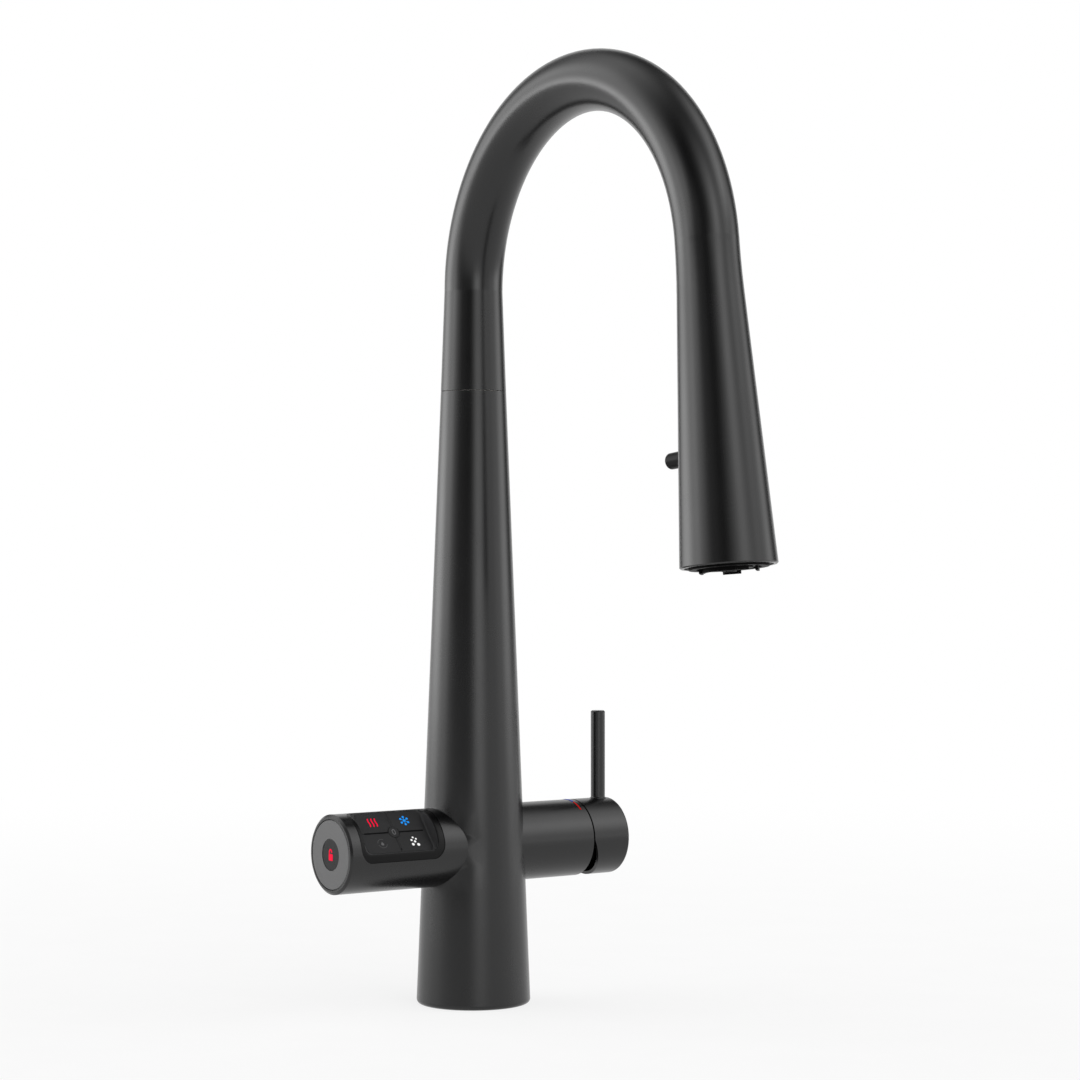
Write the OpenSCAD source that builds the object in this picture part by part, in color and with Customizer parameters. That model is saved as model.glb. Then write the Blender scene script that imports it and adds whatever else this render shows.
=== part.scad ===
// Boiling water tap: tapered column, swivelling swan-neck spout, control pod and mixer lever.
// Millimetres. Origin at the centre of the foot on the deck, +Z up, spout toward -Y,
// mixer lever on the +X side and control pod on the -X side.

/* [Column] */
// Radius of the foot on the deck
foot_r = 26; // [25:0.5:30]
// Radius at the seam where the spout starts
seam_r = 14.95; // [14.5:0.05:16]
// Height of the seam above the deck
seam_z = 279.25; // [260:0.25:320]
// Wall of the column
column_wall = 2.5; // [2:0.1:3]
// Rounding of the foot's lower edge
foot_round = 2; // [0.5:0.1:3]

/* [Spout] */
// Height at which the straight neck turns into the bend
bend_z = 325; // [320:1:360]
// Radius of the bend along the tube's middle
bend_r = 85.2; // [75:0.1:110]
// Outer radius of the tube in the bend
neck_r = 13.3; // [13.2:0.05:13.8]
// Outward lean of the head from the vertical, in degrees
head_lean = 6.06; // [2:0.02:10]
// Length of the head from the end of the bend to its rim
head_len = 134.2; // [120:0.1:150]
// Outer radius of the head at its rim
rim_r = 20.17; // [20:0.01:22]
// Wall of the spout shell
spout_wall = 1.6; // [1.2:0.1:1.8]

/* [Side arms] */
// Outer radius of the control pod and of the mixer handle
arm_r = 17.8; // [17.5:0.1:19]
// Height of the arms' shared axis
arm_z = 72.2; // [65:0.1:80]
// Distance from the column's axis to the end face of either arm
arm_reach = 76.4; // [74:0.1:84]
// Bevel at the end of the control pod
pod_bevel = 1.1; // [0.6:0.1:1.4]

/* [Control panel] */
// Turn of the panel from straight up toward the front, in degrees
panel_turn = 50; // [40:1:60]
// Distance of the keys' faces from the arm's axis
key_level = 12.4; // [12:0.1:13]
// Travel of a key
key_travel = 0.4; // [0.2:0.05:0.5]
// Travel of the lock plate
lock_travel = 0.8; // [0.4:0.1:0.9]

/* [Mixer lever] */
// Distance from the column's axis to the seam before the lever cap
cap_seam_x = 56.14; // [55:0.02:60]
// Slant of the cap's cut-back lower half, in degrees
cap_slant = 20.8; // [15:0.1:24]
// Radius of the lever pin
lever_r = 3.35; // [3:0.05:4]
// Distance from the column's axis to the lever pin
lever_x = 71; // [69:0.1:72]
// Height of the lever pin's top
lever_top = 131.1; // [110:0.1:150]

/* [Outlet and diverter] */
// Radius of the nozzle ring under the head
nozzle_r = 11.3; // [10:0.1:11.5]
// How far the nozzle ring stands out of the rim
nozzle_drop = 2.3; // [2:0.1:4]
// Radius of the diverter knob
knob_r = 3.45; // [3:0.05:4]
// Distance from the head's axis to the knob's tip
knob_reach = 33.4; // [30:0.1:38]
// Distance along the head from the bend's end to the knob
knob_place = 87; // [80:1:100]

/* [Hidden] */
$fn = 96;
eps = 0.02;
arm_wall = 2.1;
pod_bore = arm_r - arm_wall;
handle_bore = 16;
neck_bore = 12;
neck_bore_top = 319;
seam_gap = 0.3;

// column and foot
insert_h = 14;
insert_r = column_r(insert_h) - column_wall;
seal_r = [20, 22];
seal_h = 2.2;
port_hot = [7.5, 9];
port_cold = [7.5, -9];
port_boiling = [-5, 7];
port_chilled = [-5, -7];
mixed_at = [6.5, 0];
cable_x = -3;
cable_r = 1.5;
cable_bend = 7;
cable_start = -34;
stud_pitch = 33;
stud_r = 2.5;
stud_depth = 10;
port_r = 4.46;
port_depth = 8;
pipe_r = 3;
pipe_wall = 0.8;
supply_r = 4;
neck_flange = [12.3, 258, 270];
cone_top = column_r(neck_flange[1]) - column_wall;
neck_tube_r = 10.5;
neck_top = 309;
channel_r = 2.3;
neck_channels = [[5.5, 0], [-4.2, 6], [-4.2, -6]];
washer_r = 13.6;
washer_z = [277.25, 279.5];
arm_root = 13;

// swivel
bush_r = 11.92;
bush_low = [281, 287];
bush_high = [296, 302];
seal_z = [290, 293.4];
collar_z = [303, 306];
clip_z = [306.1, 307.3];
clip_r = [9.8, 11.6];
manifold_z = [312, 318];

// tubes inside the spout: across, along the bend's radius, outer radius
tube_mixed = [0, 4.6, 3.2];
tube_boiling = [-4.6, -3.2, 2.6];
tube_chilled = [4.6, -3.2, 2.6];
tube_end = 119;
tube_wall = 0.7;

// mixer, measured from the column's axis along X
valve_start = 0.5;
valve_r = 16;
valve_end = 46;
cup_start = 24;
cup_r = 12.6;
cartridge_r = 12.5;
cartridge_end = 48;
nut_x = [46, 55.9];
nut_r = 15.8;
nut_hub_r = 13.4;
nut_flange_t = 4;
carrier_r = 9.5;
carrier_x = [48.6, 60];
carrier_flange = [11, 50.4];
slot_w = 7.2;
cross_pin_r = 1.5;
running = 0.05;
stem_w = 6.9;
stem_r = 3.2;
stem_eye_r = 3.8;
stem_end = 73;
cap_wall = 1.4;
handle_end = cap_seam_x - 0.1;
handle_edge = 0.45;
cap_end_wall = 2;
cap_round = 1;
boss_r = 6.2;
boss_x = 64.5;
screw_x = 68.2;
screw_r = 1.6;
screw_hole_r = 2;

// panel, in a frame whose Z is the panel's outward normal and whose origin is on the arm's axis
panel_x = [-71.1, -27];
panel_y = 13.6;
panel_corner = 5.5;
panel_floor = 8.4;
panel_sink = 0.12;
rim_x = [-68.9, -30.4];
rim_y = [-10.6, 12.6];
rim_corner = 3.2;
plate_x = [-66, -31.5];
plate_y = [-9.3, 12.3];
plate_corner = 2.5;
ledge = 1.3;
seal_inset = 0.4;
seal_t = 0.8;
key_thick = 1.6;
ledge_level = key_level - key_thick - key_travel - 0.1;
key_gap = 0.12;
groove_w = 0.7;
groove_end = 1.6;
light_r = 2.6;
light_gap = 0.3;
plunger_r = 1.5;
board_level = [4.6, 6.2];
board_half = [18, 13.2];
post_r = 0.7;
post_at = [17, 12.65];
plug_size = [4, 6, 6.6];
switch_size = [4.4, 4.4, 2.2];
switch_knob = 0.6;
plunger_end = board_level[1] + switch_size[2] + switch_knob + key_travel + 0.1;

// pod's end and inside
plate_r = 15.5;
disc_edge = 0.25;
lens_r = 7.1;
lens_edge = 0.15;
lens_depth = 1.2;
lock_plate_t = 2;
lock_stem_r = 3;
lock_stem_len = 7.2;
guide_x = -72.6;
guide_t = 1.2;
bulkhead_t = 3;

// ---------------------------------------------------------------- helpers

// a cylinder along +X from x1 to x2 on the arms' axis
module arm_rod(r, x1, x2, r2 = undef)
    translate([x1, 0, arm_z]) rotate([0, 90, 0])
        cylinder(r1 = r, r2 = is_undef(r2) ? r : r2, h = x2 - x1);

// a ring along +Z
module ring(r_out, r_in, z1, z2)
    translate([0, 0, z1]) difference() {
        cylinder(r = r_out, h = z2 - z1);
        translate([0, 0, -1]) cylinder(r = r_in, h = z2 - z1 + 2);
    }

// a straight upright pipe at a place [x, y]
module upright_pipe(at, r, z1, z2)
    translate([at[0], at[1], 0]) ring(r, r - pipe_wall, z1, z2);

// the part of a swept bend that lies in the plane of the spout
module in_bend()
    translate([0, -bend_r, bend_z]) rotate([90, 0, 90]) children();

// the head's own frame: origin at the end of the bend, +Z along the head toward its rim
bend_turn = 180 - head_lean;
bend_end = [0, -bend_r + bend_r * cos(bend_turn), bend_z + bend_r * sin(bend_turn)];
module in_head() translate(bend_end) rotate([bend_turn, 0, 0]) children();

// the panel's own frame
module in_panel() translate([0, 0, arm_z]) rotate([panel_turn, 0, 0]) children();

// outer radius of the column at a height
function column_r(z) = foot_r + (seam_r - foot_r) * z / seam_z;

// points round a rectangle with round corners, a quarter circle of steps at each corner
corner_steps = 8;
function rounded_points(lo, hi, r) = [
    for (c = [0:3], i = [0:corner_steps])
        let (a = 90 * c + 90 * i / corner_steps,
             mid = [c == 0 || c == 3 ? hi[0] - r : lo[0] + r, c < 2 ? hi[1] - r : lo[1] + r])
        mid + r * [cos(a), sin(a)]];

// a rectangle with round corners, from a low corner to a high corner
module rounded(lo, hi, r) polygon(rounded_points(lo, hi, r));

// ---------------------------------------------------------------- column

module column() color("#3a3a3c") difference() {
    rotate_extrude() polygon([
        [0, 0], [foot_r - foot_round, 0],
        for (a = [-75:15:0]) [foot_r - foot_round + foot_round * cos(a), foot_round + foot_round * sin(a)],
        [seam_r, seam_z], [0, seam_z]]);
    translate([0, 0, -1]) cylinder(r = insert_r, h = insert_h + 1);
    translate([0, 0, insert_h - eps])
        cylinder(r1 = insert_r, r2 = cone_top, h = neck_flange[1] - insert_h + 2 * eps);
    translate([0, 0, neck_flange[1]]) cylinder(r = neck_flange[0], h = seam_z);
    translate([0, 0, washer_z[0]]) cylinder(r = washer_r, h = seam_z);
    arm_rod(arm_r, -arm_reach, 0);
    arm_rod(arm_r, 0, arm_reach);
}

module base_insert() color("#b08d57") difference() {
    cylinder(r = insert_r, h = insert_h);
    for (at = [port_hot, port_cold, port_boiling, port_chilled])
        translate([at[0], at[1], -1]) cylinder(r = port_r, h = port_depth + 1);
    for (at = [port_hot, port_cold])
        translate([at[0], at[1], 0]) cylinder(r = supply_r, h = insert_h + 1);
    for (at = [port_boiling, port_chilled])
        translate([at[0], at[1], 0]) cylinder(r = pipe_r, h = insert_h + 1);
    translate([cable_x, 0, -1]) cylinder(r = cable_r, h = insert_h + 2);
    for (side = [-1, 1])
        translate([0, side * stud_pitch / 2, -1]) cylinder(r = stud_r, h = stud_depth + 1);
    ring(seal_r[1], seal_r[0], -1, seal_h);
}

module base_seal() color("#1a1a1a") ring(seal_r[1], seal_r[0], 0, seal_h);

module hot_pipe() color("#c07a50") upright_pipe(port_hot, supply_r, port_depth, arm_z - 8);
module cold_pipe() color("#c07a50") upright_pipe(port_cold, supply_r, port_depth, arm_z - 8);
module boiling_pipe() color("#c9c9c9") upright_pipe(port_boiling, pipe_r, port_depth, neck_flange[1]);
module chilled_pipe() color("#c9c9c9") upright_pipe(port_chilled, pipe_r, port_depth, neck_flange[1]);
module mixed_pipe() color("#c9c9c9") upright_pipe(mixed_at, pipe_r, arm_z + valve_r - 2, neck_flange[1]);

// ---------------------------------------------------------------- control pod

module panel_prism(z1, z2)
    in_panel() translate([0, 0, z1]) linear_extrude(z2 - z1)
        rounded([panel_x[0], -panel_y], [panel_x[1], panel_y], panel_corner);

module pod_housing() color("#3a3a3c") difference() {
    translate([-arm_reach, 0, arm_z]) rotate([0, 90, 0]) rotate_extrude() polygon([
        [pod_bore, 0], [arm_r - pod_bevel, 0], [arm_r, 0.8 * pod_bevel],
        [arm_r, arm_reach - arm_root], [pod_bore, arm_reach - arm_root]]);
    panel_prism(panel_floor - 1, arm_r + 4);
}

module pod_bulkhead() color("#55504a") difference() {
    arm_rod(pod_bore, -arm_root - bulkhead_t, -arm_root);
    arm_rod(cable_r, -arm_root - bulkhead_t - 1, -arm_root + 1);
}

// the hollow above the keys: it opens from the plate's outline to the frame's inner edge on the arm's skin
module panel_pocket() {
    low = rounded_points([plate_x[0], plate_y[0]], [plate_x[1], plate_y[1]], plate_corner);
    high = rounded_points([rim_x[0], rim_y[0]], [rim_x[1], rim_y[1]], rim_corner);
    n = len(low);
    skin = [for (p = high) [p[0], p[1], sqrt(pow(arm_r, 2) - p[1] * p[1])]];
    top = arm_r + 4;
    polyhedron(
        points = concat([for (p = low) [p[0], p[1], key_level]], skin, [for (p = high) [p[0], p[1], top]]),
        faces = concat(
            [[for (i = [0:n - 1]) i]],
            [for (k = [0, 1], i = [0:n - 1]) let (j = (i + 1) % n)
                [k * n + i, (k + 1) * n + i, (k + 1) * n + j]],
            [for (k = [0, 1], i = [0:n - 1]) let (j = (i + 1) % n)
                [k * n + i, (k + 1) * n + j, k * n + j]],
            [[for (i = [n - 1:-1:0]) 2 * n + i]]));
}

module panel_frame() color("#2b2b2d") {
    in_panel() for (sx = [-1, 1], sy = [-1, 1])
        translate([field[0] + sx * post_at[0], sy * post_at[1], board_level[1]])
            cylinder(r = post_r, h = panel_floor - board_level[1] + eps);
    frame_plate();
}

module frame_plate() difference() {
    intersection() {
        arm_rod(arm_r - panel_sink, panel_x[0] - 1, panel_x[1] + 1);
        panel_prism(panel_floor, arm_r + 2);
    }
    in_panel() {
        panel_pocket();
        translate([0, 0, ledge_level]) linear_extrude(key_level - ledge_level + 0.5)
            rounded([plate_x[0], plate_y[0]], [plate_x[1], plate_y[1]], plate_corner);
        translate([0, 0, panel_floor - 1]) linear_extrude(key_level - panel_floor + 1)
            rounded([plate_x[0] + ledge, plate_y[0] + ledge], [plate_x[1] - ledge, plate_y[1] - ledge],
                plate_corner - ledge);
    }
}

module panel_seal() color("#1a1a1a") in_panel() translate([0, 0, panel_floor - seal_t]) linear_extrude(seal_t)
    difference() {
        rounded([plate_x[0] + seal_inset, plate_y[0] + seal_inset],
            [plate_x[1] - seal_inset, plate_y[1] - seal_inset], plate_corner - seal_inset);
        rounded([plate_x[0] + ledge, plate_y[0] + ledge], [plate_x[1] - ledge, plate_y[1] - ledge],
            plate_corner - ledge);
    }

// middle of the key field, in the panel's frame
field = [(plate_x[0] + plate_x[1]) / 2, (plate_y[0] + plate_y[1]) / 2];
field_half = [(plate_x[1] - plate_x[0]) / 2, (plate_y[1] - plate_y[0]) / 2];

// one key of the field; the signs say on which side of the middle it lies
module key(sx, sy) in_panel() {
    translate([0, 0, key_level - key_thick]) linear_extrude(key_thick) difference() {
        intersection() {
            rounded([plate_x[0] + key_gap, plate_y[0] + key_gap],
                [plate_x[1] - key_gap, plate_y[1] - key_gap], plate_corner - key_gap);
            translate(field + [sx > 0 ? key_gap / 2 : -field_half[0], sy > 0 ? key_gap / 2 : -field_half[1]])
                square(field_half - [key_gap / 2, key_gap / 2]);
        }
        translate(field) circle(r = light_r + light_gap);
        translate(field) square([groove_w, 2 * (field_half[1] - groove_end)], center = true);
        translate(field) square([2 * (field_half[0] - groove_end), groove_w], center = true);
    }
    translate([field[0] + sx * field_half[0] / 2, field[1] + sy * field_half[1] / 2, plunger_end])
        cylinder(r = plunger_r, h = key_level - key_thick - plunger_end + eps);
}

module key_hot() color("#48484a") key(-1, 1);
module key_cold() color("#48484a") key(1, 1);
module key_still() color("#48484a") key(-1, -1);
module key_sparkling() color("#48484a") key(1, -1);

module control_board() color("#1f5c3a") {
    in_panel() translate([field[0] - board_half[0], -board_half[1], board_level[0]])
        cube([2 * board_half[0], 2 * board_half[1], board_level[1] - board_level[0]]);
    in_panel() translate([cable_start - plug_size[0], -plug_size[1] / 2, board_level[0] - plug_size[2]])
        cube(plug_size);
}

module key_switches() color("#202020") in_panel()
    for (sx = [-1, 1], sy = [-1, 1])
        translate([field[0] + sx * field_half[0] / 2, field[1] + sy * field_half[1] / 2, board_level[1]]) {
            translate([-switch_size[0] / 2, -switch_size[1] / 2, 0]) cube(switch_size);
            translate([0, 0, switch_size[2]]) cylinder(r = plunger_r, h = switch_knob);
        }

module panel_light() color("#7a7a7c") in_panel() translate([field[0], field[1], board_level[1]])
    cylinder(r = light_r, h = key_level + 0.1 - board_level[1]);

// cable from the board's plug through the bulkhead, then down to the foot
module control_cable() color("#151515") {
    arm_rod(cable_r, cable_start, cable_x - cable_bend);
    translate([cable_x - cable_bend, 0, arm_z - cable_bend]) rotate([90, 0, 0])
        rotate_extrude(angle = 90) translate([cable_bend, 0]) circle(r = cable_r);
    translate([cable_x, 0, 0]) cylinder(r = cable_r, h = arm_z - cable_bend);
}

module lock_plate() color("#59595b") difference() {
    union() {
        arm_rod(plate_r - disc_edge, -arm_reach, -arm_reach + disc_edge, plate_r);
        arm_rod(plate_r, -arm_reach + disc_edge, -arm_reach + lock_plate_t);
        arm_rod(lock_stem_r, -arm_reach + lock_plate_t - eps, -arm_reach + lock_plate_t + lock_stem_len);
    }
    arm_rod(lens_r, -arm_reach - 1, -arm_reach + lens_depth);
}

module lock_lens() color("#2e2e30") {
    arm_rod(lens_r - lens_edge, -arm_reach, -arm_reach + lens_edge, lens_r);
    arm_rod(lens_r, -arm_reach + lens_edge, -arm_reach + lens_depth);
}

module lock_guide() color("#55504a") difference() {
    arm_rod(pod_bore, guide_x, guide_x + guide_t);
    arm_rod(lock_stem_r + running, guide_x - 1, guide_x + guide_t + 1);
}

lock_tip = -arm_reach + lock_plate_t + lock_stem_len;
lock_pad_x = -arm_reach + lock_plate_t + lock_travel + 0.1;
module lock_switch() color("#202020") in_panel()
    translate([lock_tip + lock_travel + 0.1, -lock_stem_r, -lock_stem_r])
        cube([2.4, 2 * lock_stem_r, lock_stem_r + board_level[0]]);

module lock_pad() color("#6b6b6b") difference() {
    arm_rod(lock_stem_r + 2.4, lock_pad_x, guide_x);
    arm_rod(lock_stem_r + 0.4, -arm_reach, guide_x + 1);
}

// ---------------------------------------------------------------- mixer

module handle_body() color("#3a3a3c")
    translate([0, 0, arm_z]) rotate([0, 90, 0]) rotate_extrude() polygon([
        [handle_bore, arm_root], [arm_r, arm_root], [arm_r, handle_end - handle_edge],
        [arm_r - handle_edge, handle_end], [handle_bore, handle_end]]);

// a thin enamel arc on the handle, from a1 to a2 degrees from the crest toward the front
mark_x = 52.7;
mark_w = 0.8;
mark_t = 0.12;
module mark(a1, a2) translate([mark_x - mark_w / 2, 0, arm_z]) rotate([0, 90, 0])
    rotate([0, 0, 180 + a1]) rotate_extrude(angle = a2 - a1)
        translate([arm_r, 0]) square([mark_t, mark_w]);

module hot_mark() color("#d01818") mark(17.8, 39.2);
module cold_mark() color("#2038c0") mark(-5.9, 15.5);

module valve_body() color("#b08d57") difference() {
    arm_rod(valve_r, valve_start, valve_end);
    arm_rod(cup_r, cup_start, valve_end + 1);
    for (at = [port_hot, port_cold])
        translate([at[0], at[1], arm_z - valve_r - 1]) cylinder(r = supply_r, h = valve_r - 7);
    translate([mixed_at[0], mixed_at[1], arm_z + valve_r - 2]) cylinder(r = pipe_r, h = 4);
}

module cartridge() color("#e8e6e0") difference() {
    arm_rod(cartridge_r, cup_start, cartridge_end);
    arm_rod(3.6, cartridge_end - 3, cartridge_end + 1);
}

module cartridge_nut() color("#b08d57") difference() {
    union() {
        arm_rod(nut_r, nut_x[0], nut_x[0] + nut_flange_t);
        arm_rod(nut_hub_r, nut_x[0] + nut_flange_t - eps, nut_x[1]);
    }
    arm_rod(cartridge_r + 0.02, nut_x[0] - 1, cartridge_end);
    arm_rod(carrier_flange[0] + running, nut_x[0] - 1, carrier_flange[1] + 0.1);
    arm_rod(carrier_r + running, nut_x[0], nut_x[1] + 1);
}

module carrier() color("#3d3d40") difference() {
    union() {
        arm_rod(carrier_r, carrier_x[0], carrier_x[1]);
        arm_rod(carrier_flange[0], carrier_x[0], carrier_flange[1]);
    }
    translate([carrier_x[0] + 2.2, -slot_w / 2, arm_z - 15]) cube([20, slot_w, 30]);
    translate([cap_seam_x, 15, arm_z]) rotate([90, 0, 0]) cylinder(r = cross_pin_r, h = 30);
}

module cross_pin() color("#c9c9c9")
    translate([cap_seam_x, 8.6, arm_z]) rotate([90, 0, 0]) cylinder(r = cross_pin_r, h = 17.2);

module stem() color("#b9b9bb") difference() {
    union() {
        translate([cap_seam_x, stem_w / 2, arm_z]) rotate([90, 0, 0]) cylinder(r = stem_eye_r, h = stem_w);
        translate([cap_seam_x, -stem_w / 2, arm_z - stem_r]) cube([6, stem_w, 2 * stem_r]);
        arm_rod(stem_r, cap_seam_x + 5, stem_end);
    }
    translate([cap_seam_x, 10, arm_z]) rotate([90, 0, 0]) cylinder(r = cross_pin_r + running, h = 20);
}

// everything to the body's side of the cap's slanted cut
module cap_cut() {
    translate([cap_seam_x - 20 + 0.2, -30, arm_z - 40]) cube([20, 60, 80]);
    translate([cap_seam_x + 0.2, 0, arm_z]) rotate([0, -cap_slant, 0])
        translate([-40, -30, -60]) cube([40, 60, 60]);
}

lever_foot = 0.5;
module lever_cap() color("#3a3a3c") difference() {
    union() {
        difference() {
            translate([0, 0, arm_z]) rotate([0, 90, 0]) rotate_extrude() polygon([
                [0, cap_seam_x], [arm_r, cap_seam_x],
                for (a = [0:15:90])
                    [arm_r - cap_round + cap_round * cos(a), arm_reach - cap_round + cap_round * sin(a)],
                [0, arm_reach]]);
            arm_rod(arm_r - cap_wall, cap_seam_x - 1, arm_reach - cap_end_wall);
        }
        arm_rod(boss_r, boss_x, arm_reach - cap_end_wall + eps);
        translate([lever_x, 0, arm_z]) rotate_extrude() polygon([
            [0, arm_r - 1], [lever_r + lever_foot, arm_r - 1],
            for (a = [0:15:75])
                [lever_r + lever_foot - lever_foot * sin(a), arm_r + lever_foot - lever_foot * cos(a)],
            [lever_r, arm_r + lever_foot], [0, arm_r + lever_foot]]);
    }
    cap_cut();
    arm_rod(stem_r + 0.02, cap_seam_x, stem_end);
    translate([lever_x, 0, arm_z + boss_r - 1.5]) cylinder(r = lever_r, h = 40);
    translate([screw_x, 0, arm_z - arm_r - 5]) cylinder(r = screw_hole_r, h = 12);
    translate([screw_x, 0, arm_z - 15]) cylinder(r = screw_r, h = 15);
}

module lever_pin() color("#3a3a3c") translate([lever_x, 0, 0]) rotate_extrude() polygon([
    [0, arm_z + boss_r - 1.5], [lever_r, arm_z + boss_r - 1.5],
    [lever_r, lever_top - 0.5], [lever_r - 0.5, lever_top], [0, lever_top]]);

module cap_screw() color("#c9c9c9") translate([screw_x, 0, arm_z - 11]) difference() {
    cylinder(r = screw_r, h = 11 - stem_r);
    translate([0, 0, -1]) cylinder(r = 0.8, h = 3);
}

// ---------------------------------------------------------------- swivel

module swivel_neck() color("#b08d57") difference() {
    union() {
        translate([0, 0, neck_flange[1]]) cylinder(r = neck_flange[0], h = neck_flange[2] - neck_flange[1]);
        translate([0, 0, neck_flange[2] - eps])
            cylinder(r = neck_tube_r, h = neck_top - neck_flange[2] + eps);
    }
    for (c = neck_channels) translate([c[0], c[1], neck_flange[1] - 1])
        cylinder(r = channel_r, h = neck_top - neck_flange[1] + 2);
    ring(neck_tube_r + 1, clip_r[0], clip_z[0], clip_z[1]);
}

module lower_bush() color("#e8e6e0") ring(bush_r, neck_tube_r, bush_low[0], bush_low[1]);
module upper_bush() color("#e8e6e0") ring(bush_r, neck_tube_r, bush_high[0], bush_high[1]);

seal_section = 1.4;
module swivel_seals() color("#1a1a1a") for (z = seal_z)
    translate([0, 0, z]) rotate_extrude() translate([neck_tube_r + seal_section / 2, 0])
        circle(r = seal_section / 2);

module thrust_washer() color("#e8e6e0") ring(washer_r, neck_tube_r, washer_z[0], washer_z[1]);

module retaining_clip() color("#c9c9c9") ring(clip_r[1], clip_r[0], clip_z[0], clip_z[1]);

// ---------------------------------------------------------------- spout

// outer radius of the head at a distance along it: a cone that leaves the neck in a short curve
blend_len = 22;
head_slope = (rim_r - neck_r) / (head_len - blend_len / 2);
function head_r(s) = neck_r + (s < blend_len ? head_slope * s * s / (2 * blend_len)
                                             : head_slope * (s - blend_len / 2));

// a hollow stretch of the bend; across and out place its middle beside the bend's own middle line
module bend_pipe(r_out, r_in, across = 0, out = 0)
    in_bend() translate([0, 0, across]) rotate_extrude(angle = bend_turn) translate([bend_r + out, 0])
        difference() {
            circle(r = r_out);
            circle(r = r_in);
        }

rim_bore = [rim_r - 1.9, 126];
neck_in = neck_r - spout_wall;

// stretches of one tube lap by a little, with a small step in radius, so that they join into one solid
lap = 0.1;
lap_step = 0.01;

module spout_shell() color("#3a3a3c") {
    rotate_extrude() polygon([
        [seam_r, seam_z + seam_gap], [neck_r, bend_z], [neck_in, bend_z],
        [neck_bore, neck_bore_top], [neck_bore, seam_z + seam_gap]]);
    bend_pipe(neck_r, neck_in);
    difference() {
        in_head() rotate_extrude() polygon([
            [neck_r + lap_step, -lap],
            for (s = [blend_len / 4:blend_len / 4:blend_len]) [head_r(s), s],
            [rim_r - 0.02, head_len - 0.5], [rim_r - 0.5, head_len], [rim_bore[0], head_len],
            rim_bore, [head_r(rim_bore[1]) - spout_wall, rim_bore[1]],
            for (s = [blend_len:-blend_len / 2:1]) [head_r(s) - spout_wall, s],
            [neck_in - lap_step, -lap]]);
        knob_bore(sleeve_r);
    }
}

module spout_collar() color("#b08d57") ring(neck_bore, neck_tube_r + running, collar_z[0], collar_z[1]);

module spout_manifold() color("#d8d5ce") difference() {
    translate([0, 0, manifold_z[0]]) cylinder(r = neck_bore, h = manifold_z[1] - manifold_z[0]);
    for (t = [tube_mixed, tube_boiling, tube_chilled]) translate([t[0], t[1], manifold_z[0] - 1])
        cylinder(r = t[2], h = manifold_z[1] - manifold_z[0] + 2);
}

// a water tube inside the spout; t holds its place across, its place along the bend's radius and its radius
module spout_tube(t) {
    translate([t[0], t[1], 0]) ring(t[2], t[2] - tube_wall, manifold_z[0], bend_z);
    bend_pipe(t[2], t[2] - tube_wall, t[0], t[1]);
    in_head() translate([t[0], t[1], 0])
        ring(t[2] + lap_step, t[2] - tube_wall - lap_step, -lap, tube_end);
}
module mixed_tube() color("#c9c9c9") spout_tube(tube_mixed);
module boiling_tube() color("#c9c9c9") spout_tube(tube_boiling);
module chilled_tube() color("#c9c9c9") spout_tube(tube_chilled);

// outlet: the plate fills the rim, the nozzle ring stands out of it
plate_z = [rim_bore[1], 133.9];
outlet_ring = [13.4, 16.4, 0.8];
jet_r = 3.2;
hole_ring = [5.9, 0.8];
// the ring stands out of the rim only between these angles
crown_span = [85, 222];
crown_rise = 1.9;
crown_wall = 1.5;
crown_in = nozzle_r - crown_wall;
tab_size = [7.5, 1.1, 2.7];

// block that takes the water tubes and carries the outlet's pieces
block_z = [115, rim_bore[1]];
block_fit = 0.02;
nozzle_seat = 122;
module head_block() color("#d8d5ce") in_head() difference() {
    translate([0, 0, block_z[0]])
        cylinder(r1 = head_r(block_z[0]) - spout_wall - block_fit,
            r2 = head_r(block_z[1]) - spout_wall - block_fit, h = block_z[1] - block_z[0]);
    for (t = [tube_mixed, tube_boiling, tube_chilled]) translate([t[0], t[1], block_z[0] - 1])
        cylinder(r = t[2] + lap_step, h = tube_end - block_z[0] + 1);
    translate([0, 0, nozzle_seat]) cylinder(r = jet_r, h = 20);
    for (k = [0:11]) rotate(30 * k) translate([hole_ring[0], 0, tube_end]) cylinder(r = hole_ring[1], h = 20);
}

module outlet_plate() color("#1d1d1f") in_head() difference() {
    union() {
        translate([0, 0, plate_z[0]]) cylinder(r = rim_bore[0], h = plate_z[1] - plate_z[0]);
        ring(outlet_ring[1], outlet_ring[0], plate_z[1] - eps, head_len + outlet_ring[2]);
    }
    translate([0, 0, plate_z[0] - 1]) cylinder(r = nozzle_r, h = 20);
}

module nozzle_ring() color("#242427") in_head() {
    difference() {
        translate([0, 0, plate_z[0]]) cylinder(r = nozzle_r, h = head_len + nozzle_drop - plate_z[0]);
        translate([0, 0, plate_z[0] - 1]) cylinder(r = crown_in, h = 20);
        translate([0, 0, head_len + nozzle_drop - crown_rise]) linear_extrude(3) polygon([
            [0, 0], for (k = [0:8]) let (a = crown_span[1] + k * (360 + crown_span[0] - crown_span[1]) / 8)
                20 * [cos(a), sin(a)]]);
    }
    for (a = [45:90:315]) rotate(a) translate([nozzle_r - 0.4, -tab_size[0] / 2, plate_z[1]])
        cube([tab_size[1], tab_size[0], tab_size[2]]);
}

module aerator_insert() color("#8a8a8c") in_head() difference() {
    translate([0, 0, plate_z[0]]) cylinder(r = crown_in, h = head_len + 1 - plate_z[0]);
    translate([0, 0, plate_z[0] - 1]) cylinder(r = jet_r, h = 20);
    for (k = [0:11]) rotate(30 * k) translate([hole_ring[0], 0, plate_z[0] - 1])
        cylinder(r = hole_ring[1], h = 20);
}

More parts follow.
